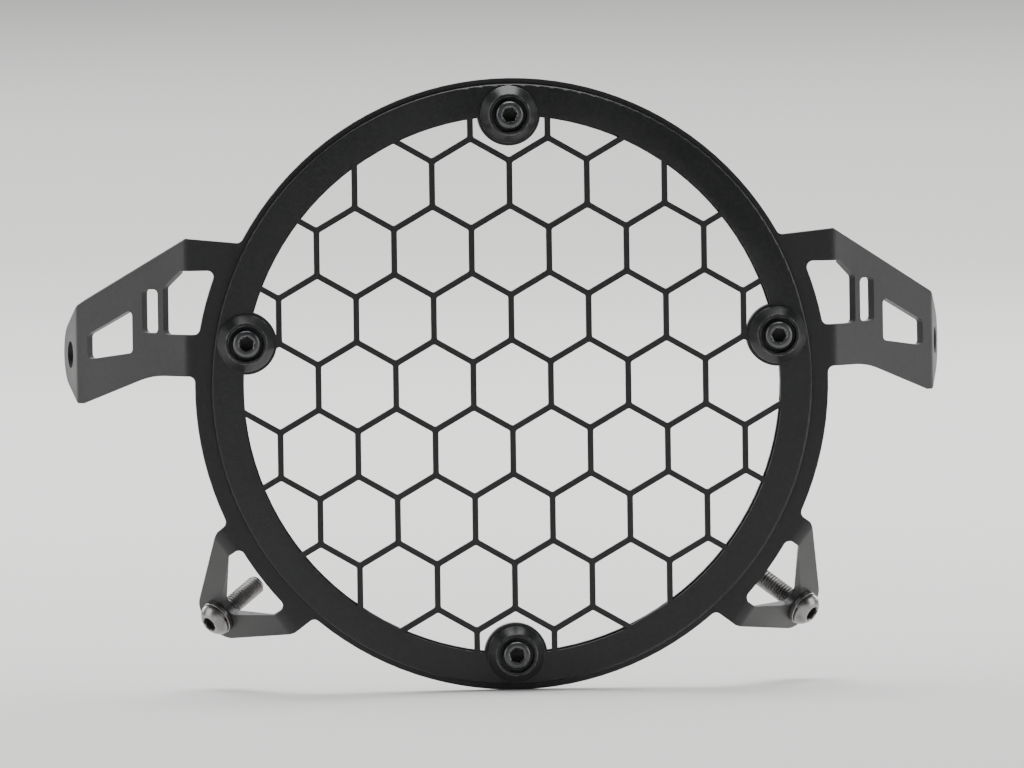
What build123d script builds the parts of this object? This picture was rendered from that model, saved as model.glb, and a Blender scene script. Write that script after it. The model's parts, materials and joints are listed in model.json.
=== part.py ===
from build123d import *
import os
from math import asin, cos, degrees, radians, sin, sqrt

# Guard for a round motorcycle headlight: a flat honeycomb grille plate, screwed on the front of
# a bent sheet bracket. The bracket's ring carries a double-bent wing on each side, which ends in
# a round lug with a bolt hole, and a bent ear on each side below, with a bolt at its end.
# Millimetres. X runs to the right as seen from the front, Z up, and the front faces -Y. The
# origin is on the lamp's axis, where the grille's back lies on the bracket's front, at Y = 0.

# Sheet
bracket_thickness = 2.5
grille_thickness = 2.0
bend_inner_radius = 2.0
junction_radius = 2.0

# Round face, about the lamp's axis
bore_radius = 84.0
grille_band_width = 9.4
bracket_bore_step = 0.6
bracket_rim_step = 1.7
shoulder_step = 5.1
shoulder_margin = 4.0
grille_edge_round = 0.6

# Honeycomb of regular hexagons, one of them on the lamp's axis
cell_pitch = 24.1
bar_width = 1.8
cell_corner_radius = 0.8

# Four screws on the edge of the bore, each on a lobe of both plates
side_screw_rise = 9.7
lobe_radius = 9.8
screw_radius = 2.5
screw_length = 14.0
screw_head_radius = 4.25
screw_head_height = 5.0
screw_socket_width = 4.0
screw_socket_depth = 2.6
screw_edge = 0.5
screw_clearance = 0.25
thread_clearance = 0.1

# Cup washer under each screw's head
cup_radius = 8.9
cup_height = 4.4
cup_rim_height = 1.0
cup_crown_radius = 6.4
cup_pocket_radius = 5.5
cup_seat_thickness = 1.2

# Washer and lock nut behind the bracket
flat_washer_radius = 5.0
flat_washer_thickness = 1.0
nut_width = 8.0
nut_height = 4.0
nut_collar_radius = 3.6
nut_collar_height = 1.0

# Wing: flat root, panel and lug, with heights above the lamp's axis
wing_bend_gap = 2.3
wing_panel_angle = 45.0
wing_panel_length = 46.5
wing_top_at_axis = 36.5
wing_top_at_bend = 46.8
wing_top_at_lug = 25.0
wing_low_edge = 4.0
wing_low_break = 10.5
wing_bottom = -5.4
wing_corner_radius = 2.0
wing_sweep_radius = 18.0

# Window across the wing's first bend
inner_window_top = 36.8
inner_window_shoulder = 31.4
inner_window_low = 16.9
inner_window_reach = 9.9
inner_window_corner = 2.8

# Window in the wing's panel: reach from the first bend, and height, of its four corners
outer_window = [(23.0, 10.9), (23.0, 24.6), (42.0, 16.1), (42.0, 8.4)]
window_corner_radius = 1.5
window_overlap = 0.9

# Narrow window between the two, by its middle
narrow_window_reach = 15.5
narrow_window_height = 24.0
narrow_window_length = 13.6
narrow_window_width = 6.6

# Lug at the wing's end
lug_angle = 81.0
lug_hole_reach = 9.8
lug_hole_height = 9.3
lug_radius = 10.0
lug_hole_radius = 4.2

# Ear below the wing, along a line this far below the horizontal; its bolt and window end lie below the line
ear_slope = 36.9
ear_bend_gap = 2.8
ear_panel_angle = 60.0
ear_root_half_width = 19.8
ear_end_radius = 8.5
ear_bolt_reach = 29.0
ear_bolt_drop = 3.1
ear_window_half_width = 11.6
ear_window_end_radius = 3.6
ear_window_drop = 2.0
ear_window_web = 2.4

# Bolt and washer at the ear's end
ear_bolt_radius = 3.0
ear_bolt_length = 20.0
ear_bolt_head_radius = 5.25
ear_bolt_head_height = 3.3
ear_bolt_head_rim = 0.9
ear_bolt_crown_radius = 2.9
ear_bolt_socket_width = 4.0
ear_bolt_socket_depth = 2.0
ear_bolt_neck_step = 0.2
ear_bolt_neck_spare = 0.4
ear_washer_radius = 5.5
ear_washer_thickness = 1.6

# Worked out from the sizes above
grille_radius = bore_radius + grille_band_width
bracket_bore_radius = bore_radius - bracket_bore_step
bracket_rim_radius = grille_radius + bracket_rim_step
shoulder_radius = grille_radius + shoulder_step
arm_root_radius = (bracket_bore_radius + bracket_rim_radius) / 2
bend_outer_radius = bend_inner_radius + bracket_thickness
screw_hole_radius = screw_radius + screw_clearance
nut_bore_radius = screw_radius + thread_clearance
ear_hole_radius = ear_bolt_radius + screw_clearance
ear_bolt_neck_radius = ear_bolt_radius - ear_bolt_neck_step
ear_bolt_neck_length = ear_washer_thickness + bracket_thickness + ear_bolt_neck_spare
ear_window_reach = ear_bolt_reach - ear_hole_radius - ear_window_web - ear_window_end_radius
wing_bend_x = shoulder_radius + wing_bend_gap
cut_depth = 3 * (bracket_thickness + bend_inner_radius)

# The shoulder runs from above the wing's window to below the ear's window
shoulder_top_angle = degrees(asin((inner_window_top + shoulder_margin) / shoulder_radius))
shoulder_low_angle = ear_slope + degrees(asin((ear_window_half_width + shoulder_margin) / shoulder_radius))

screw_angles = {"top": 90, "left": 180 - side_screw_rise, "bottom": 270, "right": side_screw_rise}
screw_spots = {
    name: (bore_radius * cos(radians(angle)), bore_radius * sin(radians(angle)))
    for name, angle in screw_angles.items()
}

backwards = Vector(0, 1, 0)
sideways = Vector(1, 0, 0)
ear_direction = Vector(cos(radians(ear_slope)), 0, -sin(radians(ear_slope)))


def panel_plane(corner, outwards, angle):
    """Plane of a bent panel's front face: local X runs along the panel from its bend, and Z out of the face."""
    along = outwards * cos(radians(angle)) + backwards * sin(radians(angle))
    face = outwards * sin(radians(angle)) - backwards * cos(radians(angle))
    return Plane(origin=corner, x_dir=along, z_dir=face)


def turning_plane(seat):
    """Plane through a turned piece's axis: local X runs outwards, and Y along the axis, out of the seat."""
    return Plane(origin=seat.origin, x_dir=seat.x_dir, z_dir=-seat.y_dir)


wing_plane = panel_plane(sideways * wing_bend_x, sideways, wing_panel_angle)
lug_plane = panel_plane(wing_plane.from_local_coords((wing_panel_length, 0, 0)), sideways, lug_angle)
ear_plane = panel_plane(ear_direction * (shoulder_radius + ear_bend_gap), ear_direction, ear_panel_angle)
ear_section_plane = Plane(origin=(0, 0, 0), x_dir=ear_direction, z_dir=ear_direction.cross(backwards))
ear_front = Plane(origin=(0, 0, 0), x_dir=ear_direction, z_dir=-backwards)

lug_corner = lug_plane.origin
lug_tip = lug_plane.from_local_coords((lug_hole_reach + lug_radius, 0, 0))
lug_trim_length = 2 * (lug_hole_reach + lug_radius)
ear_tip = ear_section_plane.to_local_coords(ear_plane.from_local_coords((ear_bolt_reach + ear_end_radius, 0, 0)))
ear_corner = ear_section_plane.to_local_coords(ear_plane.origin)
ear_trim_length = 2 * (ear_bolt_reach + ear_end_radius)


def on_circle(radius, height):
    """Point to the right of the axis, this far above it, on a circle about it."""
    return (sqrt(radius**2 - height**2), height)


# Outside of the bracket's ring, which is wider at the shoulder on each side
with BuildSketch() as ring_outline:
    Circle(bracket_rim_radius)
    for start in (-shoulder_low_angle, 180 - shoulder_top_angle):
        with BuildLine():
            rim = CenterArc((0, 0), shoulder_radius, start, shoulder_low_angle + shoulder_top_angle)
            Line((0, 0), rim @ 0)
            Line(rim @ 1, (0, 0))
        make_face()

# Shape of the lug and of the ear's panel, each from its bend line to its round end
with BuildSketch() as lug_shape:
    with BuildLine():
        Line((0, wing_bottom), (0, wing_top_at_lug))
        CenterArc((lug_hole_reach, lug_hole_height), lug_radius, 0, 360)
    make_hull()

with BuildSketch() as ear_shape:
    with BuildLine():
        Line((0, -ear_root_half_width), (0, ear_root_half_width))
        CenterArc((ear_bolt_reach, -ear_bolt_drop), ear_end_radius, 0, 360)
    make_hull()


# Wing on the right: the bent section, as high as the wing, cut to the outline that shows from the front
with BuildPart() as wing:
    with BuildSketch(Plane.XY.offset(wing_bottom)) as wing_section:
        with BuildLine():
            FilletPolyline(
                (0, 0),
                (wing_bend_x, 0),
                (lug_corner.X, lug_corner.Y),
                (lug_tip.X, lug_tip.Y),
                radius=bend_outer_radius,
            )
            offset(amount=bracket_thickness, side=Side.LEFT)
        make_face()
    extrude(amount=wing_top_at_bend - wing_bottom)

    with BuildSketch(Plane.XZ) as wing_outline:
        with BuildLine():
            Polyline(
                (0, wing_low_edge),
                (wing_bend_x + wing_low_break, wing_low_edge),
                (lug_corner.X - wing_corner_radius, wing_bottom),
                (lug_tip.X + lug_radius, wing_bottom),
                (lug_tip.X + lug_radius, wing_top_at_lug),
                (lug_corner.X, wing_top_at_lug),
                (wing_bend_x, wing_top_at_bend),
                (0, wing_top_at_axis),
                close=True,
            )
        make_face()
        fillet(
            wing_outline.vertices().sort_by_distance((wing_bend_x + wing_low_break, wing_low_edge))[0],
            wing_sweep_radius,
        )
        fillet(wing_outline.vertices().sort_by_distance((lug_corner.X, wing_top_at_lug))[0], wing_corner_radius)
        add(ring_outline.sketch)
        for inner_corner in (on_circle(bracket_rim_radius, wing_top_at_bend), on_circle(shoulder_radius, wing_low_edge)):
            fillet(wing_outline.vertices().sort_by_distance(inner_corner)[0], junction_radius)
    extrude(amount=lug_tip.Y + cut_depth, both=True, mode=Mode.INTERSECT)

    with BuildSketch(Plane.XZ) as wing_root:
        Circle(arm_root_radius)
    extrude(amount=cut_depth, both=True, mode=Mode.SUBTRACT)

    with BuildSketch(Plane.XZ) as inner_window_root:
        with Locations((0, (inner_window_low + inner_window_top) / 2)):
            Rectangle(
                wing_bend_x + window_overlap,
                inner_window_top - inner_window_low,
                align=(Align.MIN, Align.CENTER),
            )
        add(ring_outline.sketch, mode=Mode.SUBTRACT)
        fillet(inner_window_root.vertices().group_by(SortBy.DISTANCE)[0], junction_radius)
    extrude(amount=cut_depth, both=True, mode=Mode.SUBTRACT)

    with BuildSketch(wing_plane) as inner_window_end:
        with BuildLine():
            Polyline(
                (-window_overlap, inner_window_low),
                (inner_window_reach, inner_window_low),
                (inner_window_reach, inner_window_shoulder),
                (inner_window_corner, inner_window_top),
                (-window_overlap, inner_window_top),
                close=True,
            )
        make_face()
        outer_corners = inner_window_end.vertices().group_by(Axis.X)[-1]
        fillet(outer_corners, window_corner_radius)
    extrude(amount=cut_depth / 2, both=True, mode=Mode.SUBTRACT)

    with BuildSketch(wing_plane) as panel_cuts:
        with BuildLine():
            Polyline(*outer_window, close=True)
        make_face()
        fillet(panel_cuts.vertices(), window_corner_radius)
        with Locations((narrow_window_reach, narrow_window_height)):
            RectangleRounded(narrow_window_width, narrow_window_length, window_corner_radius)
    extrude(amount=cut_depth, both=True, mode=Mode.SUBTRACT)

    with BuildSketch(lug_plane) as lug_trim:
        Rectangle(lug_trim_length, 2 * wing_top_at_bend, align=(Align.MIN, Align.CENTER))
        add(lug_shape.sketch, mode=Mode.SUBTRACT)
        with Locations((lug_hole_reach, lug_hole_height)):
            Circle(lug_hole_radius)
    extrude(amount=cut_depth / 2, both=True, mode=Mode.SUBTRACT)


# Ear on the right: the bent section, as wide as the ear's root, tapered to its round end
with BuildPart() as ear:
    with BuildSketch(ear_section_plane) as ear_section:
        with BuildLine():
            FilletPolyline(
                (0, 0),
                (ear_corner.X, ear_corner.Y),
                (ear_tip.X, ear_tip.Y),
                radius=bend_outer_radius,
            )
            offset(amount=bracket_thickness, side=Side.LEFT)
        make_face()
    extrude(amount=ear_root_half_width + 2 * junction_radius, both=True)

    with BuildSketch(ear_front) as ear_outline:
        Rectangle(ear_tip.X + ear_end_radius, 2 * ear_root_half_width, align=(Align.MIN, Align.CENTER))
        add(ring_outline.sketch, rotation=ear_slope)
        for inner_corner in (
            on_circle(shoulder_radius, ear_root_half_width),
            on_circle(bracket_rim_radius, -ear_root_half_width),
        ):
            fillet(ear_outline.vertices().sort_by_distance(inner_corner)[0], junction_radius)
    extrude(amount=ear_tip.Y + cut_depth, both=True, mode=Mode.INTERSECT)

    with BuildSketch(Plane.XZ) as ear_root:
        Circle(arm_root_radius)
    extrude(amount=cut_depth, both=True, mode=Mode.SUBTRACT)

    with BuildSketch(ear_front) as ear_window_root:
        Rectangle(ear_corner.X + window_overlap, 2 * ear_window_half_width, align=(Align.MIN, Align.CENTER))
        add(ring_outline.sketch, rotation=ear_slope, mode=Mode.SUBTRACT)
        fillet(ear_window_root.vertices().group_by(SortBy.DISTANCE)[0], junction_radius)
    extrude(amount=cut_depth / 2, both=True, mode=Mode.SUBTRACT)

    with BuildSketch(ear_plane) as ear_window_end:
        with BuildLine():
            Line((-window_overlap, -ear_window_half_width), (-window_overlap, ear_window_half_width))
            CenterArc((ear_window_reach, -ear_window_drop), ear_window_end_radius, 0, 360)
        make_hull()
    extrude(amount=cut_depth / 2, both=True, mode=Mode.SUBTRACT)

    with BuildSketch(ear_plane) as ear_trim:
        Rectangle(ear_trim_length, ear_trim_length, align=(Align.MIN, Align.CENTER))
        add(ear_shape.sketch, mode=Mode.SUBTRACT)
        with Locations((ear_bolt_reach, -ear_bolt_drop)):
            Circle(ear_hole_radius)
    extrude(amount=cut_depth / 2, both=True, mode=Mode.SUBTRACT)


# Bracket: the ring with its shoulders and screw lobes, and the wing and ear of both sides
with BuildPart() as mounting_bracket:
    with BuildSketch(Plane.XZ.offset(-bracket_thickness)) as ring_face:
        add(ring_outline.sketch)
        Circle(bracket_bore_radius, mode=Mode.SUBTRACT)
        with Locations(*screw_spots.values()):
            Circle(lobe_radius)
            Circle(screw_hole_radius, mode=Mode.SUBTRACT)
    extrude(amount=bracket_thickness)
    add(wing.part)
    add(ear.part)
    mirror(wing.part, about=Plane.YZ)
    mirror(ear.part, about=Plane.YZ)
mounting_bracket.part.label = "mounting_bracket"


# Grille: a disc with the honeycomb cut out of it, its band and lobes left whole
row_spacing = cell_pitch * cos(radians(30))
cells_across = int(2 * grille_radius / cell_pitch) + 1
cell_spots = [
    (column * cell_pitch + (row % 2) * cell_pitch / 2, row * row_spacing)
    for row in range(-cells_across, cells_across + 1)
    for column in range(-cells_across, cells_across + 1)
]
open_cells = [spot for spot in cell_spots if Vector(*spot).length < bore_radius + cell_pitch / 4]

with BuildSketch() as grille_band:
    Circle(grille_radius)
    Circle(bore_radius, mode=Mode.SUBTRACT)
    with Locations(*screw_spots.values()):
        Circle(lobe_radius)
    Circle(grille_radius, mode=Mode.INTERSECT)

with BuildPart() as honeycomb_grille:
    with BuildSketch(Plane.XZ) as grille_face:
        Circle(grille_radius)
        with BuildSketch(mode=Mode.PRIVATE) as cell:
            RegularPolygon((cell_pitch - bar_width) / 2, 6, major_radius=False, rotation=30)
            fillet(cell.vertices(), cell_corner_radius)
        with Locations(*open_cells):
            add(cell.sketch, mode=Mode.SUBTRACT)
        add(grille_band.sketch)
        with Locations(*screw_spots.values()):
            Circle(screw_hole_radius, mode=Mode.SUBTRACT)
    extrude(amount=grille_thickness)
    rim_edges = honeycomb_grille.edges().filter_by(GeomType.CIRCLE).group_by(Axis.Y)[0]
    fillet(rim_edges.group_by(SortBy.RADIUS)[-1], grille_edge_round)
honeycomb_grille.part.label = "honeycomb_grille"


def make_cap_screw(seat):
    """Socket cap screw with its head's underside on the seat plane."""
    with BuildPart() as screw:
        with BuildSketch(turning_plane(seat)):
            with BuildLine():
                Polyline(
                    (0, -screw_length),
                    (screw_radius - screw_edge, -screw_length),
                    (screw_radius, screw_edge - screw_length),
                    (screw_radius, 0),
                    (screw_head_radius, 0),
                    (screw_head_radius, screw_head_height - screw_edge),
                    (screw_head_radius - screw_edge, screw_head_height),
                    (0, screw_head_height),
                    close=True,
                )
            make_face()
        revolve(axis=Axis(seat.origin, seat.z_dir))
        with BuildSketch(seat.offset(screw_head_height)):
            RegularPolygon(screw_socket_width / 2, 6, major_radius=False)
        extrude(amount=-screw_socket_depth, mode=Mode.SUBTRACT)
    return screw.part


def make_cup_washer(seat):
    """Turned washer that stands on the seat plane, with a bevelled outside and a pocket for the screw's head."""
    with BuildPart() as cup:
        with BuildSketch(turning_plane(seat)):
            with BuildLine():
                Polyline(
                    (screw_hole_radius, 0),
                    (cup_radius, 0),
                    (cup_radius, cup_rim_height),
                    (cup_crown_radius, cup_height),
                    (cup_pocket_radius, cup_height),
                    (cup_pocket_radius, cup_seat_thickness),
                    (screw_hole_radius, cup_seat_thickness),
                    close=True,
                )
            make_face()
        revolve(axis=Axis(seat.origin, seat.z_dir))
    return cup.part


def make_flat_washer(seat, radius, thickness, hole_radius):
    """Flat washer that stands on the seat plane."""
    with BuildPart() as washer:
        with BuildSketch(seat):
            Circle(radius)
            Circle(hole_radius, mode=Mode.SUBTRACT)
        extrude(amount=thickness)
    return washer.part


def make_lock_nut(seat):
    """Hexagon nut with a round locking collar, standing on the seat plane."""
    with BuildPart() as nut:
        with BuildSketch(seat):
            RegularPolygon(nut_width / 2, 6, major_radius=False)
        extrude(amount=nut_height)
        with BuildSketch(seat.offset(nut_height)):
            Circle(nut_collar_radius)
        extrude(amount=nut_collar_height)
        with BuildSketch(seat):
            Circle(nut_bore_radius)
        extrude(amount=nut_height + nut_collar_height, mode=Mode.SUBTRACT)
    return nut.part


def make_ear_bolt(seat):
    """Button-head socket bolt with its head's underside on the seat plane, and a plain neck through the plate."""
    with BuildPart() as bolt:
        with BuildSketch(turning_plane(seat)):
            with BuildLine():
                Polyline(
                    (0, ear_bolt_head_height),
                    (0, -ear_bolt_length),
                    (ear_bolt_radius - screw_edge, -ear_bolt_length),
                    (ear_bolt_radius, screw_edge - ear_bolt_length),
                    (ear_bolt_radius, -ear_bolt_neck_length),
                    (ear_bolt_neck_radius, -ear_bolt_neck_length),
                    (ear_bolt_neck_radius, 0),
                    (ear_bolt_head_radius, 0),
                    (ear_bolt_head_radius, ear_bolt_head_rim),
                )
                RadiusArc(
                    (ear_bolt_head_radius, ear_bolt_head_rim),
                    (ear_bolt_crown_radius, ear_bolt_head_height),
                    -ear_bolt_head_radius,
                )
                Line((ear_bolt_crown_radius, ear_bolt_head_height), (0, ear_bolt_head_height))
            make_face()
        revolve(axis=Axis(seat.origin, seat.z_dir))
        with BuildSketch(seat.offset(ear_bolt_head_height)):
            RegularPolygon(ear_bolt_socket_width / 2, 6, major_radius=False)
        extrude(amount=-ear_bolt_socket_depth, mode=Mode.SUBTRACT)
    return bolt.part


pieces = {
    "mounting_bracket": mounting_bracket.part,
    "honeycomb_grille": honeycomb_grille.part,
}

# The four screws with what they clamp, from the front to the back
for name, (x, z) in screw_spots.items():
    cup_seat = Plane(origin=(x, -grille_thickness, z), x_dir=sideways, z_dir=-backwards)
    washer_seat = Plane(origin=(x, bracket_thickness, z), x_dir=sideways, z_dir=backwards)
    pieces["cup_washer_" + name] = make_cup_washer(cup_seat)
    pieces["cap_screw_" + name] = make_cap_screw(cup_seat.offset(cup_seat_thickness))
    pieces["flat_washer_" + name] = make_flat_washer(
        washer_seat, flat_washer_radius, flat_washer_thickness, screw_hole_radius
    )
    pieces["lock_nut_" + name] = make_lock_nut(washer_seat.offset(flat_washer_thickness))

# The bolt of each ear, the left one mirrored
bolt_seat = Plane(
    origin=ear_plane.from_local_coords((ear_bolt_reach, -ear_bolt_drop, 0)),
    x_dir=ear_plane.x_dir,
    z_dir=ear_plane.z_dir,
)
right_washer = make_flat_washer(bolt_seat, ear_washer_radius, ear_washer_thickness, ear_hole_radius)
right_bolt = make_ear_bolt(bolt_seat.offset(ear_washer_thickness))
pieces["ear_washer_right"] = right_washer
pieces["ear_bolt_right"] = right_bolt
pieces["ear_washer_left"] = mirror(right_washer, about=Plane.YZ)
pieces["ear_bolt_left"] = mirror(right_bolt, about=Plane.YZ)

os.makedirs("parts", exist_ok=True)
for name, piece in pieces.items():
    piece.label = name
    export_step(piece, "parts/" + name + ".step")
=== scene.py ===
# %% [markdown]
# # A guard for a round motorcycle headlight
# The real guard is a flat honeycomb grille, screwed on the front of a bent sheet bracket with four
# cap screws in turned cup washers. Two wings at the sides and two ears below carry it on the lamp's
# holder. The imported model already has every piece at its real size, so the work here is what makes
# metal believable: broken edges that catch the light, threads, sockets and turned faces, and coats
# with a grain of their own.

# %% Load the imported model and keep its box
import json
import math

import bmesh
import bpy
from mathutils import Matrix, Vector


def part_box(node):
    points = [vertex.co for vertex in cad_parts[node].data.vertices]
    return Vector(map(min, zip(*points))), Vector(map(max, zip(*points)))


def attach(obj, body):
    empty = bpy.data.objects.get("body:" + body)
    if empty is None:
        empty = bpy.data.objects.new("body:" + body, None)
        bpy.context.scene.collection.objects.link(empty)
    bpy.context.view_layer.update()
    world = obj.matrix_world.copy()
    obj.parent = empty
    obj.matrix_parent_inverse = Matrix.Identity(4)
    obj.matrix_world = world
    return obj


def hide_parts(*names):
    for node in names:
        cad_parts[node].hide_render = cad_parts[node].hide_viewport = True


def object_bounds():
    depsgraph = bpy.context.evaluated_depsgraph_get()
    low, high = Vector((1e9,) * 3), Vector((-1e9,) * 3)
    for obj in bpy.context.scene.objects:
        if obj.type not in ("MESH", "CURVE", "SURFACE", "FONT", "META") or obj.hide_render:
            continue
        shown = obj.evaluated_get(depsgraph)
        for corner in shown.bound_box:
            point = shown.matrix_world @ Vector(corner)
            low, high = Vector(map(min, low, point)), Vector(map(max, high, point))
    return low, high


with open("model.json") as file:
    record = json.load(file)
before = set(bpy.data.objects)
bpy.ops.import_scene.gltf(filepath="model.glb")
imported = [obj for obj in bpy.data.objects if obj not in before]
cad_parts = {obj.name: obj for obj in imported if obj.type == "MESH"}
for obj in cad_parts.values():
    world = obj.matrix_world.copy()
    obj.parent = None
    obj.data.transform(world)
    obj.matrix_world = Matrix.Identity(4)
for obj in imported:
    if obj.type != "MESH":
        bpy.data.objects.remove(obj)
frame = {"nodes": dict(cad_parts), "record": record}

cad_low, cad_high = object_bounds()
mm = 0.001
cad_nodes = frame["nodes"]
mounts = {mount["name"]: mount for mount in frame["record"]["mounts"]}
print("CAD box in mm:", [round(value / mm, 1) for value in (*cad_low, *cad_high)])

# %% [markdown]
# ## The camera
# The guard was seen from straight ahead, from several metres away with a long lens, a little from
# above and from the left, and it leaned by almost one degree. A long lens keeps the round face
# round. We aim at the lamp's axis plane, half-way up the guard, and let the lens follow from how
# much of the picture the guard should fill.

# %% Camera at the photograph's viewing angle
view_turn = math.radians(3.5)
view_height = math.radians(3.0)
view_lean = math.radians(-0.8)
view_distance = 8.0
filled_width = 0.86
sensor_width = 36.0

aim = Vector((0, 0, (cad_low.z + cad_high.z) / 2))
backwards = Vector(
    (
        -math.sin(view_turn) * math.cos(view_height),
        -math.cos(view_turn) * math.cos(view_height),
        math.sin(view_height),
    )
)
camera_data = bpy.data.cameras.new("camera")
camera_data.sensor_width = sensor_width
camera_data.lens = sensor_width * view_distance * filled_width / (cad_high.x - cad_low.x)
camera = bpy.data.objects.new("camera", camera_data)
camera.location = aim + backwards * view_distance
camera.rotation_mode = "QUATERNION"
looking = (-backwards).to_track_quat("-Z", "Y")
camera.rotation_quaternion = looking @ Matrix.Rotation(view_lean, 3, "Z").to_quaternion()
bpy.context.scene.collection.objects.link(camera)
bpy.context.scene.camera = camera
print("lens in mm:", round(camera_data.lens))

# %% [markdown]
# ## Shader effects as node groups
# Several coats need the same effects, so each effect is a node group with named sockets, built once.
# A small helper adds a node and joins its inputs, so that a group reads as a list of steps.
# Patterns read Object coordinates or an attribute of the piece itself. The pieces' objects sit at
# the origin, so one metre in a texture is one metre on the piece. A size given to a group is in
# millimetres.

# %% Helpers that build node trees
mix_first, mix_second, mix_result = 6, 7, 2


def add_node(tree, kind, inputs=None, **settings):
    """Adds a node, sets its properties, and sets or links its inputs by socket name or index."""
    node = tree.nodes.new(kind)
    for key, value in settings.items():
        setattr(node, key, value)
    for socket, value in (inputs or {}).items():
        if isinstance(value, bpy.types.NodeSocket):
            tree.links.new(value, node.inputs[socket])
        else:
            node.inputs[socket].default_value = value
    return node


def calculate(tree, operation, first, second):
    """The result of a Math node."""
    return add_node(tree, "ShaderNodeMath", {0: first, 1: second}, operation=operation).outputs[0]


def remap(tree, value, from_low, from_high, low=0.0, high=1.0):
    """A value stretched from one range to another, and kept in it."""
    ends = {"Value": value, "From Min": from_low, "From Max": from_high, "To Min": low, "To Max": high}
    return add_node(tree, "ShaderNodeMapRange", ends).outputs["Result"]


def mix_colours(tree, first, second, mask):
    """A colour between two colours, by the mask."""
    inputs = {"Factor": mask, mix_first: first, mix_second: second}
    return add_node(tree, "ShaderNodeMix", inputs, data_type="RGBA").outputs[mix_result]


def noise(tree, vector, size, detail=3.0, roughness=0.6):
    """Noise whose features are about this many millimetres wide."""
    scale = calculate(tree, "DIVIDE", 1 / mm, size)
    inputs = {"Vector": vector, "Scale": scale, "Detail": detail, "Roughness": roughness}
    return add_node(tree, "ShaderNodeTexNoise", inputs).outputs["Fac"]


def new_group(name, inputs, outputs):
    """An empty node group: inputs are given as name: default number, outputs as name: kind."""
    group = bpy.data.node_groups.new(name, "ShaderNodeTree")
    for socket, default in inputs.items():
        made = group.interface.new_socket(socket, in_out="INPUT", socket_type="NodeSocketFloat")
        made.default_value = default
    for socket, kind in outputs.items():
        group.interface.new_socket(socket, in_out="OUTPUT", socket_type="NodeSocket" + kind)
    return group, add_node(group, "NodeGroupInput").outputs, add_node(group, "NodeGroupOutput").inputs


# %% Group: the fine grain that a sprayed or blasted surface has
grain_height = 0.3 * mm

grain_group, given, result = new_group(
    "surface grain",
    {"Grain Size": 1.0, "Depth": 0.2, "Patch Size": 40.0},
    {"Patches": "Float", "Normal": "Vector"},
)
on_piece = add_node(grain_group, "ShaderNodeTexCoord").outputs["Object"]
fine_grain = noise(grain_group, on_piece, given["Grain Size"], roughness=0.55)
patches = noise(grain_group, on_piece, given["Patch Size"], detail=4.0)
grain_bump = {"Height": fine_grain, "Strength": given["Depth"], "Distance": grain_height}
grain_normal = add_node(grain_group, "ShaderNodeBump", grain_bump).outputs["Normal"]
grain_group.links.new(patches, result["Patches"])
grain_group.links.new(grain_normal, result["Normal"])
print("group:", grain_group.name)

# %% Group: edges rubbed by handling, broken up so that they don't look drawn
rub_starts, rub_complete = 0.40, 0.62

edge_group, given, result = new_group(
    "rubbed edges",
    {"Break Size": 3.0, "Amount": 0.6},
    {"Mask": "Float"},
)
on_piece = add_node(edge_group, "ShaderNodeTexCoord").outputs["Object"]
edge_mark = add_node(edge_group, "ShaderNodeAttribute", attribute_name="edge").outputs["Fac"]
breaks = noise(edge_group, on_piece, given["Break Size"], detail=5.0, roughness=0.65)
rubbed_places = remap(edge_group, breaks, rub_starts, rub_complete)
worn_edge = calculate(edge_group, "MULTIPLY", edge_mark, rubbed_places)
edge_group.links.new(calculate(edge_group, "MULTIPLY", worn_edge, given["Amount"]), result["Mask"])
print("group:", edge_group.name)

# %% Group: dust that settles on what faces up
dust_free_tilt, dustiest_tilt = -0.2, 1.0
spot_starts, spot_complete = 0.45, 0.75

dust_group, given, result = new_group(
    "settled dust",
    {"Amount": 0.2, "Spot Size": 2.0},
    {"Mask": "Float"},
)
on_piece = add_node(dust_group, "ShaderNodeTexCoord").outputs["Object"]
surface = add_node(dust_group, "ShaderNodeNewGeometry").outputs["Normal"]
facing_up = add_node(dust_group, "ShaderNodeSeparateXYZ", {0: surface}).outputs["Z"]
upward = remap(dust_group, facing_up, dust_free_tilt, dustiest_tilt)
spot_noise = noise(dust_group, on_piece, given["Spot Size"], detail=6.0, roughness=0.7)
spots = remap(dust_group, spot_noise, spot_starts, spot_complete)
dust_there = calculate(dust_group, "MULTIPLY", upward, spots)
dust_group.links.new(calculate(dust_group, "MULTIPLY", dust_there, given["Amount"]), result["Mask"])
print("group:", dust_group.name)

# %% [markdown]
# ## The coats
# The bracket and the grille have a satin black powder coat: a fine orange-peel grain, a gloss that
# goes grey where the sheet turns to the light, and thinner, lighter paint on the edges. A picture of
# real paint could be wrapped round each piece, but it needs unwrapping, and it repeats. Noise in
# Object coordinates needs neither, and its size is a real one. It lets the tone and the gloss vary
# in patches. Most values of a noise lie in one middle range, so that range is stretched where a
# pattern should show fully.

# %% Helpers: a material with its shader, and a group placed in it
noise_low, noise_high = 0.3, 0.7


def new_material(name, **sockets):
    """A material with a Principled shader, whose plain values are named as its sockets, _ for a space."""
    material = bpy.data.materials.new(name)
    material.use_nodes = True
    tree = material.node_tree
    tree.nodes.clear()
    values = {socket.replace("_", " "): value for socket, value in sockets.items()}
    shader = add_node(tree, "ShaderNodeBsdfPrincipled", values)
    output = add_node(tree, "ShaderNodeOutputMaterial")
    tree.links.new(shader.outputs["BSDF"], output.inputs["Surface"])
    return material, tree, shader.inputs


def use_group(tree, group, **values):
    """The outputs of a group placed in a tree, whose values are named as its sockets, _ for a space."""
    node = add_node(tree, "ShaderNodeGroup", node_tree=group)
    for socket, value in values.items():
        node.inputs[socket.replace("_", " ")].default_value = value
    return node.outputs


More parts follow.
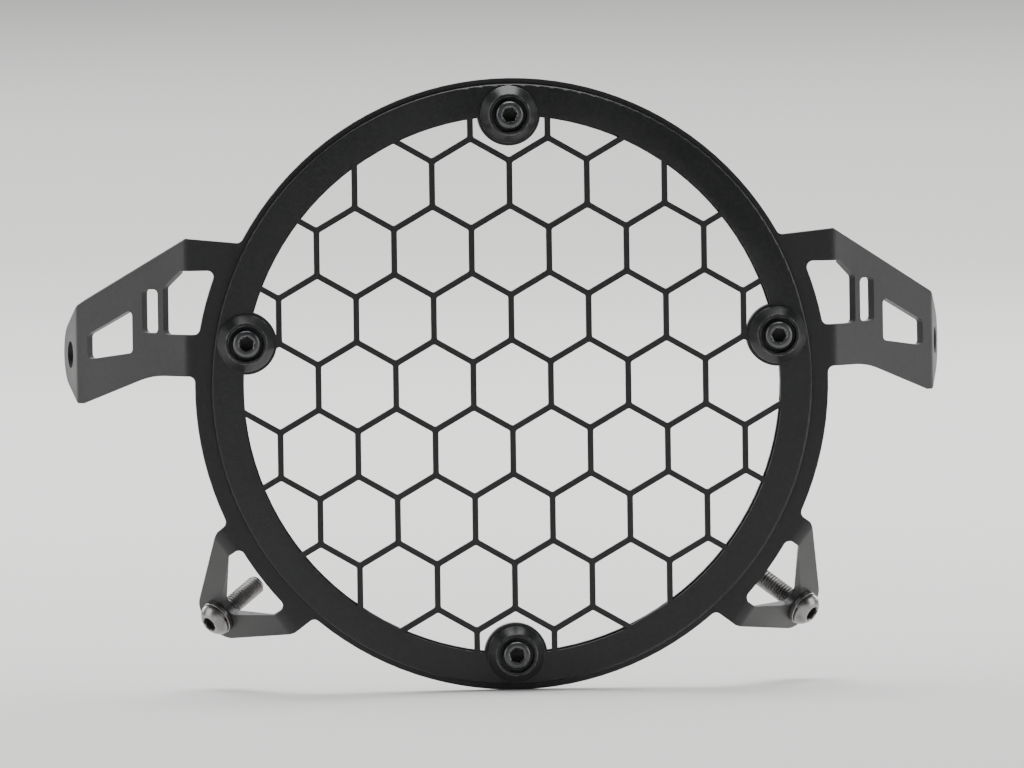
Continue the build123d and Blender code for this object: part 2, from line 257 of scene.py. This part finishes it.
def vary_roughness(tree, sockets, pattern, smooth, rough):
    """Lets a pattern set the roughness, between the smooth value and the rough one."""
    tree.links.new(remap(tree, pattern, noise_low, noise_high, smooth, rough), sockets["Roughness"])


def grey(value, warmth=0.0):
    """A near-neutral colour: a little warmer for a warmth above zero, cooler below."""
    return (value * (1 + warmth), value, value * (1 - warmth), 1.0)


# %% Powder coat
coat_dark, coat_light = grey(0.0090, -0.10), grey(0.0145, -0.06)
thin_coat = grey(0.070)
dust_tone = grey(0.27, 0.14)

powder_coat, tree, sockets = new_material("satin powder coat", IOR=1.5)
grain = use_group(tree, grain_group, Grain_Size=0.55, Depth=0.22, Patch_Size=45.0)
edges = use_group(tree, edge_group, Break_Size=4.0, Amount=0.5)
dust = use_group(tree, dust_group, Amount=0.14, Spot_Size=1.6)
coat = mix_colours(tree, coat_dark, coat_light, grain["Patches"])
coat = mix_colours(tree, coat, thin_coat, edges["Mask"])
coat = mix_colours(tree, coat, dust_tone, dust["Mask"])
tree.links.new(coat, sockets["Base Color"])
vary_roughness(tree, sockets, grain["Patches"], smooth=0.36, rough=0.47)
tree.links.new(grain["Normal"], sockets["Normal"])
print("material:", powder_coat.name)

# %% [markdown]
# The cup washers are turned and then anodised black, so fine rings run round them. Their meshes
# carry an attribute called turning, the number of millimetres along the profile, and noise along
# that one value gives rings that follow the bevel and the pocket as a lathe's tool does.

# %% Turned and anodised aluminium
anodised_dark, anodised_light = grey(0.014, -0.05), grey(0.028, -0.04)
bare_aluminium = grey(0.22)
rings_in_a_mm = 4.0
ring_depth = 0.1 * mm

anodised, tree, sockets = new_material("turned black anodising", IOR=1.5, Metallic=0.35)
turned = add_node(tree, "ShaderNodeAttribute", attribute_name="turning").outputs["Fac"]
along_profile = add_node(tree, "ShaderNodeCombineXYZ", {"X": turned}).outputs[0]
ring_noise = {"Vector": along_profile, "Scale": rings_in_a_mm, "Detail": 3.0, "Roughness": 0.7}
rings = add_node(tree, "ShaderNodeTexNoise", ring_noise).outputs["Fac"]
grain = use_group(tree, grain_group, Grain_Size=0.25, Depth=0.05, Patch_Size=9.0)
edges = use_group(tree, edge_group, Break_Size=2.0, Amount=0.5)
tone = mix_colours(tree, anodised_dark, anodised_light, rings)
tone = mix_colours(tree, tone, bare_aluminium, edges["Mask"])
ring_bump = {"Height": rings, "Strength": 0.35, "Distance": ring_depth, "Normal": grain["Normal"]}
tree.links.new(tone, sockets["Base Color"])
vary_roughness(tree, sockets, rings, smooth=0.24, rough=0.40)
tree.links.new(add_node(tree, "ShaderNodeBump", ring_bump).outputs["Normal"], sockets["Normal"])
print("material:", anodised.name)

# %% [markdown]
# The screws have a thin black oxide, which shows steel where the key and the spanner rub. The ears'
# bolts are bare steel, the sockets get a near-black coat as painted shade, and the lock nuts hold a
# ring of pale nylon. All four are one recipe with other values: two tones in patches, rubbed edges
# and a fine grain.

# %% Helper: a finish with two tones


def two_tone(name, dark, light, rubbed, roughness, grain_values, edge_values, **plain):
    """A finish with two tones in patches, rubbed edges and a fine grain."""
    material, tree, sockets = new_material(name, **plain)
    grain = use_group(tree, grain_group, **grain_values)
    edges = use_group(tree, edge_group, **edge_values)
    tone = mix_colours(tree, dark, light, remap(tree, grain["Patches"], noise_low, noise_high))
    tree.links.new(mix_colours(tree, tone, rubbed, edges["Mask"]), sockets["Base Color"])
    vary_roughness(tree, sockets, grain["Patches"], *roughness)
    tree.links.new(grain["Normal"], sockets["Normal"])
    print("material:", material.name)
    return material


# %% Black oxide steel and bare steel
black_oxide = two_tone(
    "black oxide",
    dark=grey(0.075, -0.05),
    light=grey(0.125, -0.02),
    rubbed=grey(0.36, 0.03),
    roughness=(0.23, 0.39),
    grain_values={"Grain_Size": 0.35, "Depth": 0.12, "Patch_Size": 5.0},
    edge_values={"Break_Size": 1.5, "Amount": 0.75},
    Metallic=0.7,
)
bright_steel = two_tone(
    "bright steel",
    dark=grey(0.20, 0.03),
    light=grey(0.32, 0.02),
    rubbed=grey(0.55, 0.01),
    roughness=(0.24, 0.40),
    grain_values={"Grain_Size": 0.30, "Depth": 0.10, "Patch_Size": 4.0},
    edge_values={"Break_Size": 1.2, "Amount": 0.6},
    Metallic=1.0,
)

# %% Painted shade in the sockets, and the nylon of the lock nuts' rings
# The sockets' near-black coat is painted shade: it darkens the hexagon holes, where little light gets in.
painted_socket_shade = two_tone(
    "painted shade in the sockets",
    dark=grey(0.010),
    light=grey(0.022, 0.05),
    rubbed=grey(0.10, 0.03),
    roughness=(0.55, 0.75),
    grain_values={"Grain_Size": 0.40, "Depth": 0.25, "Patch_Size": 1.5},
    edge_values={"Break_Size": 1.0, "Amount": 0.5},
    IOR=1.45,
)
nylon = two_tone(
    "nylon ring",
    dark=grey(0.50, 0.02),
    light=grey(0.62, 0.02),
    rubbed=grey(0.66, 0.02),
    roughness=(0.38, 0.48),
    grain_values={"Grain_Size": 0.60, "Depth": 0.08, "Patch_Size": 3.0},
    edge_values={"Break_Size": 2.0, "Amount": 0.3},
    IOR=1.53,
)

# %% [markdown]
# ## The two plates
# Laser-cut sheet never has knife edges: they are broken by hand before painting, and the coat rounds
# them further. An exact CAD mesh has no such rounding, so its edges look dark and dead. The way out
# is a copy of the mesh: its double points are merged, flat triangles are joined into whole faces,
# and every sharp edge gets a small bevel. The bevel's faces are marked in an attribute called edge,
# which the coat reads to be thinner and lighter there.

# %% Helpers: finish a piece, break its edges, and copy a CAD node
sharp_angle = math.radians(28)
flat_angle = math.radians(0.3)
double_distance = 0.002 * mm


def finish_piece(name, bm, materials, replaced):
    """Makes the object of a finished bmesh, rides it on the frame and lets it stand for a CAD node."""
    mesh = bpy.data.meshes.new(name)
    bm.to_mesh(mesh)
    bm.free()
    for material in materials:
        mesh.materials.append(material)
    piece = bpy.data.objects.new(name, mesh)
    bpy.context.scene.collection.objects.link(piece)
    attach(piece, "root")
    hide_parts(replaced)
    print(f"{name}: {len(mesh.polygons)} faces, stands for {replaced}")


def shade_by_angle(bm):
    """Shades every face smooth, and keeps a crease where two faces meet at a sharp angle."""
    for face in bm.faces:
        face.smooth = True
    for edge in bm.edges:
        edge.smooth = edge.is_manifold and edge.calc_face_angle() < sharp_angle


def break_edges(bm, width, steps=3):
    """Bevels every sharp edge, and marks the bevel's faces in the edge attribute."""
    mark = bm.loops.layers.float.new("edge")
    sharp = [edge for edge in bm.edges if edge.is_manifold and edge.calc_face_angle() > sharp_angle]
    made = bmesh.ops.bevel(
        bm,
        geom=sharp,
        offset=width,
        segments=steps,
        profile=0.5,
        affect="EDGES",
        clamp_overlap=True,
        material=-1,
    )
    shade_by_angle(bm)
    broken = set(made["faces"])
    for face in broken:
        for loop in face.loops:
            loop[mark] = 1.0
        for edge in face.edges:
            edge.smooth = edge.smooth and broken.issuperset(edge.link_faces)


def clean_copy(node):
    """A copy of a CAD node's mesh, with its double points merged and its flat triangles joined."""
    bm = bmesh.new()
    bm.from_mesh(cad_nodes[node].data)
    bmesh.ops.remove_doubles(bm, verts=bm.verts, dist=double_distance)
    bmesh.ops.dissolve_limit(bm, angle_limit=flat_angle, verts=bm.verts, edges=bm.edges)
    return bm


def softened_copy(name, node, width, material, steps=3):
    """A copy of a CAD node with broken edges, in the node's place."""
    bm = clean_copy(node)
    break_edges(bm, width, steps)
    finish_piece(name, bm, [material], node)


# %% [markdown]
# The window in each ear runs over the bend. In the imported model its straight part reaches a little
# past the bend and leaves a small step in both sides of the window. A laser cuts one smooth side, so
# the inner points of each step are welded to its outer corners before the edges are broken. They
# are found in the ear's own directions, in millimetres from the corner of its bend: along the sheet,
# across it, and through it from its front face. Points of the front face that lie past the bend
# aren't welded but slid, onto the straight line to the window's round end.

# %% Where the steps in an ear's window are
bend_to_bolt_along, bend_to_bolt_across = 29.0, -3.1
head_to_mount = 12.0
bolt_washer_thickness = 1.6
step_ends = (1.8, 6.2)
step_sides = (8.0, 11.0)
step_depths = (-0.1, 2.6)
front_layer = 1.0
front_corner = Vector((1.90, 11.6, 0.06))
back_corner = Vector((6.13, 11.6, 2.50))
bend_ends = 2.5
round_ends = {1: Vector((21.27, 1.26)), -1: Vector((20.73, -5.46))}
flat_enough = math.radians(1)


def inside(value, ends):
    """Says whether a value lies between two ends."""
    return ends[0] < value < ends[1]


def in_step(place):
    """Says whether a place in an ear's own directions belongs to a step of its window."""
    beside = inside(place.x, step_ends) and inside(abs(place.y), step_sides)
    return beside and inside(place.z, step_depths)


# %% Helpers: an ear's own directions, and its window straightened


def ear_directions(mount):
    """The directions along an ear, across it and through it, and the corner of its bend."""
    inwards = Vector(mount["axis"])
    along = (Vector((0, 1, 0)) - inwards * inwards.y).normalized()
    across = along.cross(inwards)
    across *= math.copysign(1, across.z)
    bolt_on_sheet = Vector(mount["pos_m"]) - inwards * (head_to_mount - bolt_washer_thickness) * mm
    bend = bolt_on_sheet - (along * bend_to_bolt_along + across * bend_to_bolt_across) * mm
    return Matrix((along, across, inwards)), bend


def straighten_ear_window(bm, mount):
    """Takes the small steps out of the sides of an ear's window."""
    directions, bend = ear_directions(mount)
    places = {vert: directions @ (vert.co - bend) / mm for vert in bm.verts}
    welds = {}
    for vert, place in places.items():
        if not in_step(place):
            continue
        side = 1 if place.y > 0 else -1
        at_front = place.z < front_layer
        corner = (front_corner if at_front else back_corner) * Vector((1, side, 1))
        if at_front and place.x > bend_ends:
            share = (place.x - corner.x) / (round_ends[side].x - corner.x)
            straight = corner.y + (round_ends[side].y - corner.y) * share
            vert.co += directions[1] * (straight - place.y) * mm
        else:
            welds[vert] = min(places, key=lambda other: (places[other] - corner).length)
    corners = set(welds.values())
    bmesh.ops.weld_verts(bm, targetmap=welds)
    sides = {face for corner in corners for face in corner.link_faces}
    bmesh.ops.connect_verts_nonplanar(bm, angle_limit=flat_enough, faces=list(sides))
    print("points welded in an ear's window:", len(welds))


# %% Bracket, with the windows in its ears straightened, and grille
bracket_edge = 0.35 * mm
grille_edge = 0.30 * mm

bm = clean_copy("mounting_bracket")
for side in ("left", "right"):
    straighten_ear_window(bm, mounts["ear_bolt_end_" + side])
break_edges(bm, bracket_edge)
finish_piece("bracket_sheet", bm, [powder_coat], "mounting_bracket")
softened_copy("grille_plate", "honeycomb_grille", grille_edge, powder_coat)

# %% [markdown]
# ## Screws, washers and nuts
# These are small, but they are where the eye goes. Each could be a chain of primitives joined by
# booleans, but a stack of rings is simpler and cleaner: one circle is extruded again and again, and
# after each step its points are moved to the next radius and height, pulled in to a hexagon where
# there are flats. Turned rims, sockets, knurls and nuts all come from the one helper. The bodies are
# built in millimetres about the Z axis, and get their real size and place at the end.

# %% Helpers: a body made of extruded rings
ring_points = 96
point_angle = 2 * math.pi / ring_points
sector_degrees = 60
sector = math.radians(sector_degrees)
ring_join = 0.0001


def arc(centre, radius, angles):
    """The rings of a round stretch in a profile, at these angles in degrees up from level."""
    turns = [math.radians(angle) for angle in angles]
    return [(centre[0] + radius * math.cos(turn), centre[1] + radius * math.sin(turn)) for turn in turns]


def shape_ring(verts, radius, height, flats=0.0, knurl=0.0):
    """Moves points to a ring, cut off by a hexagon this wide across its flats, or knurled this deep."""
    for vert in verts:
        angle = math.atan2(vert.co.y, vert.co.x)
        reach = radius - knurl * (round(angle / point_angle) % 2)
        if flats:
            off_flat = (angle + sector / 2) % sector - sector / 2
            reach = min(radius, flats / 2 / math.cos(off_flat))
        vert.co = (reach * math.cos(angle), reach * math.sin(angle), height)


def stack_rings(rings, closed_bore=False):
    """A body of extruded rings, closed at its first one; with a bore, the last ring meets the first."""
    bm = bmesh.new()
    turning = bm.verts.layers.float.new("turning")
    verts = set(bmesh.ops.create_circle(bm, radius=1.0, segments=ring_points)["verts"])
    shape_ring(verts, *rings[0])
    if not closed_bore:
        bmesh.ops.contextual_create(bm, geom=bm.edges[:])
    run = 0.0
    for before, ring in zip(rings, rings[1:] + rings[:1] if closed_bore else rings[1:]):
        loop = [edge for edge in bm.edges if verts.issuperset(edge.verts)]
        made = bmesh.ops.extrude_edge_only(bm, edges=loop)["geom"]
        verts = {item for item in made if isinstance(item, bmesh.types.BMVert)}
        shape_ring(verts, *ring)
        run += math.dist(before[:2], ring[:2])
        for vert in verts:
            vert[turning] = run
    if closed_bore:
        bmesh.ops.remove_doubles(bm, verts=bm.verts, dist=ring_join)
    bmesh.ops.recalc_face_normals(bm, faces=bm.faces)
    return bm


# %% Helpers: a second material on a body, and the body put in its place
front = Vector((0, -1, 0))
screw_turns = {"top": 8.0, "bottom": 41.0, "left": 23.0, "right": 55.0}


def second_material(bm, above, within):
    """Gives the faces above a height and nearer to the axis than a radius the second material."""
    for face in bm.faces:
        middle = face.calc_center_median()
        if middle.z > above and math.hypot(middle.x, middle.y) < within:
            face.material_index = 1


def put_in_place(bm, seat, outwards, turn=0.0):
    """Gives a body built along Z its real size and moves it to its seat, with Z turned outwards."""
    aside = outwards.to_track_quat("Z", "X").to_matrix().to_4x4()
    size = Matrix.Scale(mm, 4) @ Matrix.Rotation(math.radians(turn), 4, "Z")
    bmesh.ops.transform(bm, matrix=Matrix.Translation(seat) @ aside @ size, verts=bm.verts)


def seat_of(node, end):
    """The middle of a node's box at its front or back face."""
    low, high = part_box(node)
    return Vector(((low.x + high.x) / 2, low.y if end == "front" else high.y, (low.z + high.z) / 2))


# %% [markdown]
# ## Cup washers
# A cup washer is turned from round bar: a flat underside, a bevelled rim, and a deep pocket with a
# seat for the screw's head. Its profile goes once round and back to the bore, so the last ring meets
# the first.

# %% Cup washers
cup_bore, cup_radius, cup_crown, cup_pocket = 2.75, 8.9, 6.4, 5.5
cup_rim_height, cup_height, cup_seat_height = 1.0, 4.4, 1.2
cup_edge = 0.22

cup_rings = [
    (cup_bore, 0.0),
    (cup_radius, 0.0),
    (cup_radius, cup_rim_height),
    (cup_crown, cup_height),
    (cup_pocket, cup_height),
    (cup_pocket, cup_seat_height),
    (cup_bore, cup_seat_height),
]
for side in screw_turns:
    bm = stack_rings(cup_rings, closed_bore=True)
    break_edges(bm, cup_edge)
    put_in_place(bm, seat_of("cup_washer_" + side, "back"), front)
    finish_piece("cup_" + side, bm, [anodised], "cup_washer_" + side)

# %% [markdown]
# ## Threads
# A thread is one tooth wound round the axis. The spin operator does just that when it also moves the
# tooth along the axis at each step: the end of one turn lands on the start of the next, and merging
# the doubles sews the turns together. Two flat cuts then give the thread its length, and the points
# near its free end are pulled in, so that it starts with the small cone that real threads have.

# %% Helpers: wind a thread below a body's open end
thread_steps = 28
thread_depth = 0.61
crest_starts, crest_ends = 0.44, 0.56
spare_turns = 2
turn_join = 0.004
cone_depth = 0.25
cut_margin = 0.01


def wind_tooth(radius, root, pitch, top, bottom):
    """A thread's tooth wound from below the bottom to above the top, as one mesh."""
    thread = bmesh.new()
    tooth = [(root, 0.0), (radius, crest_starts * pitch), (radius, crest_ends * pitch), (root, pitch)]
    start = bottom - spare_turns * pitch
    points = [thread.verts.new((reach, 0, start + height)) for reach, height in tooth]
    sides = [thread.edges.new(pair) for pair in zip(points, points[1:])]
    turns = math.ceil((top - bottom) / pitch) + 2 * spare_turns
    bmesh.ops.spin(
        thread,
        geom=points + sides,
        cent=(0, 0, 0),
        axis=(0, 0, 1),
        dvec=(0, 0, pitch / thread_steps),
        angle=2 * math.pi * turns,
        steps=thread_steps * turns,
        use_merge=False,
    )
    bmesh.ops.remove_doubles(thread, verts=thread.verts, dist=turn_join)
    return thread


def cut_thread(thread, root, pitch, top, bottom):
    """Cuts a wound tooth to length, and gives its free end a cone and a flat face."""
    for height, outwards in ((top, 1), (bottom, -1)):
        bmesh.ops.bisect_plane(
            thread,
            geom=thread.verts[:] + thread.edges[:] + thread.faces[:],
            plane_co=(0, 0, height),
            plane_no=(0, 0, outwards),
            clear_outer=True,
        )
    for vert in thread.verts:
        reach = math.hypot(vert.co.x, vert.co.y)
        inside_cone = root - cone_depth * pitch + vert.co.z - bottom
        if reach > inside_cone:
            vert.co.x *= inside_cone / reach
            vert.co.y *= inside_cone / reach
    free_end = bottom + cut_margin * pitch
    rim = [edge for edge in thread.edges if edge.is_boundary and edge.verts[0].co.z < free_end]
    bmesh.ops.contextual_create(thread, geom=rim)


def wind_thread(bm, radius, pitch, top, bottom):
    """Adds a thread down the Z axis from top to bottom, and joins it to the body's open end."""
    root = radius - thread_depth * pitch
    thread = wind_tooth(radius, root, pitch, top, bottom)
    cut_thread(thread, root, pitch, top, bottom)
    wound = bpy.data.meshes.new("thread")
    thread.to_mesh(wound)
    thread.free()
    bm.from_mesh(wound)
    bpy.data.meshes.remove(wound)
    gap = [edge for edge in bm.edges if edge.is_boundary]
    bmesh.ops.triangle_fill(bm, edges=gap, use_beauty=True)
    bmesh.ops.recalc_face_normals(bm, faces=bm.faces)


# %% [markdown]
# ## Cap screws
# The head has a rounded rim, a knurled side and a hexagon socket. Its rings start at the bottom of
# the socket, come up and over the rim, and go down the side to the neck, where the thread is joined
# on. In a knurled ring every second point is pulled in.

# %% Cap screws
head_radius, head_height, rim_radius = 4.25, 5.0, 1.1
socket_flats, socket_corner = 4.0, 2.32
knurl_depth = 0.16
neck_end = -0.9
screw_edge = 0.05

screw_socket = [
    (0.3, 1.9),
    (socket_corner, 2.45, socket_flats),
    (socket_corner, 4.6, socket_flats),
    (2.6, head_height),
]
rim_centre = (head_radius - rim_radius, head_height - rim_radius)
screw_rim = arc(rim_centre, rim_radius, range(90, -1, -15))
screw_side = [
    (head_radius, 3.7, 0.0, knurl_depth),
    (head_radius, 0.75, 0.0, knurl_depth),
    (head_radius, 0.5),
    (4.2, 0.2),
    (4.0, 0.0),
    (2.6, 0.0),
    (2.5, -0.1),
    (2.5, neck_end),
]
for side, turn in screw_turns.items():
    bm = stack_rings(screw_socket + screw_rim + screw_side)
    break_edges(bm, screw_edge, steps=1)
    # The socket's faces take the second material, the near-black painted shade.
    second_material(bm, above=1.8, within=2.3)
    wind_thread(bm, radius=2.48, pitch=0.8, top=neck_end, bottom=-14.0)
    shade_by_angle(bm)
    seat = seat_of("cap_screw_" + side, "front") - head_height * mm * front
    put_in_place(bm, seat, front, turn)
    finish_piece("screw_" + side, bm, [black_oxide, painted_socket_shade], "cap_screw_" + side)

# %% [markdown]
# ## Flat washers and lock nuts
# They sit behind the bracket. The washers are copies of their CAD nodes with broken edges. A nut's
# corners are cut by a cone, which leaves the curved line that a real nut has on each flat. A ring
# with flats does this by itself, because each of its points lies on the cone or on the hexagon,
# whichever is nearer to the axis. The nylon ring sits inside the collar.

# %% Flat washers, and lock nuts with their nylon ring
washer_edge = 0.15 * mm
nut_edge = 0.06
nut_flats, nut_corner, nut_height = 8.0, 4.62, 4.0
nylon_start, nylon_radius = 3.6, 2.97

seat_chamfer = [(4.05, 0.12, nut_flats), (4.3, 0.26, nut_flats), (nut_corner, 0.5, nut_flats)]
collar_chamfer = [(radius, nut_height - height, flats) for radius, height, flats in seat_chamfer[::-1]]
nut_collar = [(3.62, nut_height), (3.6, 4.7), (3.45, 4.92), (3.2, 5.0), (3.0, 4.98)]
nut_bore = [(2.95, 4.75), (2.6, 4.72), (2.56, 3.7), (2.6, 3.6)]
nut_rings = [(2.6, 0.0), (3.75, 0.0)] + seat_chamfer + collar_chamfer + nut_collar + nut_bore
for side, turn in screw_turns.items():
    washer = "flat_washer_" + side
    softened_copy("washer_" + side, washer, washer_edge, black_oxide, steps=2)
    bm = stack_rings(nut_rings, closed_bore=True)
    break_edges(bm, nut_edge, steps=1)
    second_material(bm, nylon_start, nylon_radius)
    put_in_place(bm, seat_of("lock_nut_" + side, "front"), -front, sector_degrees - turn)
    finish_piece("nut_" + side, bm, [black_oxide, nylon], "lock_nut_" + side)

# %% [markdown]
# ## The ears' bolts
# Each ear carries a button-head bolt of bare steel, with a plain neck through the sheet. The record's
# mount gives the middle of its free end and the direction of its axis, so the head's seat is counted
# back from there. The dome is one arc from the socket's edge to the rim.

# %% Bolts and their washers
dome_radius = 5.25
dome_centre = (0.52, -1.38)
dome_angles = (63.0, 57.5, 51.5, 45.0, 38.5, 32.0, 25.7)
bolt_neck_end = -5.0
bolt_edge = 0.06
bolt_washer_edge = 0.2 * mm
bolt_turns = {"left": 12.0, "right": 37.0}

bolt_socket = [
    (0.4, 0.9),
    (socket_corner, 1.35, socket_flats),
    (socket_corner, 2.9, socket_flats),
    (2.5, 3.28),
]
bolt_neck = [
    (5.25, 0.55),
    (5.2, 0.15),
    (5.05, 0.0),
    (2.85, 0.0),
    (2.8, -0.1),
    (2.8, -4.6),
    (3.0, -4.8),
    (3.0, bolt_neck_end),
]
for side, turn in bolt_turns.items():
    mount = mounts["ear_bolt_end_" + side]
    inwards = Vector(mount["axis"])
    seat = Vector(mount["pos_m"]) - inwards * head_to_mount * mm
    bm = stack_rings(bolt_socket + arc(dome_centre, dome_radius, dome_angles) + bolt_neck)
    break_edges(bm, bolt_edge, steps=1)
    # The socket's faces take the second material, the near-black painted shade.
    second_material(bm, above=0.8, within=2.3)
    wind_thread(bm, radius=2.98, pitch=1.0, top=bolt_neck_end, bottom=-20.0)
    shade_by_angle(bm)
    put_in_place(bm, seat, -inwards, turn)
    finish_piece("bolt_" + side, bm, [bright_steel, painted_socket_shade], "ear_bolt_" + side)
    washer = "ear_washer_" + side
    softened_copy("bolt_washer_" + side, washer, bolt_washer_edge, bright_steel, steps=2)

# %% [markdown]
# ## The floor and the light
# A plain pale floor runs far past the picture, and the sky is one pale tone. Big soft lamps stand
# left and right of the guard: the wings are turned towards them and go grey, while the round face
# looks at the darker front and stays nearly black, as on the real one. Lamps above and behind light
# the top edges and the back, and one lights the floor far behind.

# %% Floor
floor_size = 30.0
floor_tone = (0.78, 0.77, 0.75, 1.0)

bm = bmesh.new()
bmesh.ops.create_grid(bm, x_segments=1, y_segments=1, size=floor_size / 2)
bmesh.ops.translate(bm, verts=bm.verts, vec=(0, 0, cad_low.z))
floor_mesh = bpy.data.meshes.new("floor")
bm.to_mesh(floor_mesh)
bm.free()
floor = bpy.data.objects.new("floor", floor_mesh)
bpy.context.scene.collection.objects.link(floor)
floor_paint, tree, sockets = new_material("pale floor", Roughness=0.85, Base_Color=floor_tone)
floor_mesh.materials.append(floor_paint)
print("floor height in mm:", round(cad_low.z / mm, 1))

# %% Soft lamps


def soft_lamp(name, place_at, size, power, aim_at=aim):
    """A square area lamp, turned to the guard unless it is aimed elsewhere."""
    data = bpy.data.lights.new(name, "AREA")
    data.shape = "SQUARE"
    data.size = size
    data.energy = power
    lamp = bpy.data.objects.new(name, data)
    lamp.location = place_at
    lamp.rotation_euler = (Vector(aim_at) - Vector(place_at)).to_track_quat("-Z", "Y").to_euler()
    bpy.context.scene.collection.objects.link(lamp)
    print(f"{name}: {power} W")


soft_lamp("left lamp", (-1.8, -0.3, 0.5), size=1.2, power=13.0)
soft_lamp("right lamp", (1.8, -0.3, 0.5), size=1.2, power=15.0)
soft_lamp("top lamp", (0.0, 0.5, 2.0), size=1.6, power=50.0)
soft_lamp("left back lamp", (-1.4, 1.8, 0.8), size=1.2, power=26.0)
soft_lamp("right back lamp", (1.4, 1.8, 0.8), size=1.2, power=26.0)
soft_lamp("floor lamp", (0.0, 3.6, 2.4), size=3.0, power=130.0, aim_at=(0.0, 3.6, 0.0))

# %% A pale sky
sky_colour = (0.93, 0.95, 1.0, 1.0)
sky_strength = 0.16

world = bpy.data.worlds.new("pale sky")
world.use_nodes = True
background = world.node_tree.nodes["Background"].inputs
background["Color"].default_value = sky_colour
background["Strength"].default_value = sky_strength
bpy.context.scene.world = world
print("sky:", world.name)
